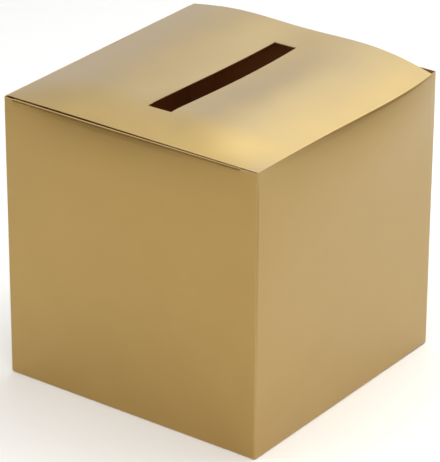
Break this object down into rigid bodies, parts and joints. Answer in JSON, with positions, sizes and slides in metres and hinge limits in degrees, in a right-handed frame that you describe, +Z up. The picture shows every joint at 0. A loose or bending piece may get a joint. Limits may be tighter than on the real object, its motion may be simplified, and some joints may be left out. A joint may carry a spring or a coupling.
{
  "type": "favor box",
  "caption": "Cube-shaped folding gift card box in gold foil board, with a slotted, sprung lid that tucks in and a snap-lock bottom.",
  "frame": {"origin": "middle of the underside, on the surface that the box stands on", "axes": "+Z up, +X towards the wall that carries the lid's fold, -Y towards the front wall, so the lid opens about +Y"},
  "size_m": [0.3048, 0.3048, 0.3174],
  "materials": {
    "gold_foil_board": "satin gold foil laminated on brown paperboard",
    "brown_board_back": "uncoated brown inner face of the board"
  },
  "bodies": {
    "carton": {"front_wall": "gold_foil_board", "right_wall": "gold_foil_board", "back_wall": "gold_foil_board", "left_wall": "gold_foil_board", "glue_flap": "brown_board_back", "tongue_bottom_flap": "gold_foil_board", "right_bottom_flap": "gold_foil_board", "notched_bottom_flap": "gold_foil_board", "left_bottom_flap": "gold_foil_board"},
    "lid_panel": {"lid": "gold_foil_board"},
    "tuck_panel": {"tuck_flap": "gold_foil_board"},
    "front_dust_panel": {"front_dust_flap": "gold_foil_board"},
    "back_dust_panel": {"back_dust_flap": "gold_foil_board"}
  },
  "joints": [
    {"name": "lid_fold", "type": "hinge", "parent": "carton", "child": "lid_panel", "pos_m": [0.152, 0, 0.3044], "axis": [0, 1, 0], "range_deg": [0, 175]},
    {"name": "tuck_fold", "type": "hinge", "parent": "lid_panel", "child": "tuck_panel", "pos_m": [-0.1508, -0.147, 0.3033], "axis": [-0.018, -0.9997, -0.0153], "range_deg": [0, 55]},
    {"name": "front_dust_fold", "type": "hinge", "parent": "carton", "child": "front_dust_panel", "pos_m": [0, -0.152, 0.3033], "axis": [1, 0, 0], "range_deg": [0, 87.5]},
    {"name": "back_dust_fold", "type": "hinge", "parent": "carton", "child": "back_dust_panel", "pos_m": [0, 0.152, 0.3033], "axis": [-1, 0, 0], "range_deg": [0, 87.5]}
  ],
  "couplings": [
    {"joint": "front_dust_fold", "follows": "lid_fold", "ratio": 0.5},
    {"joint": "back_dust_fold", "follows": "lid_fold", "ratio": 0.5}
  ]
}
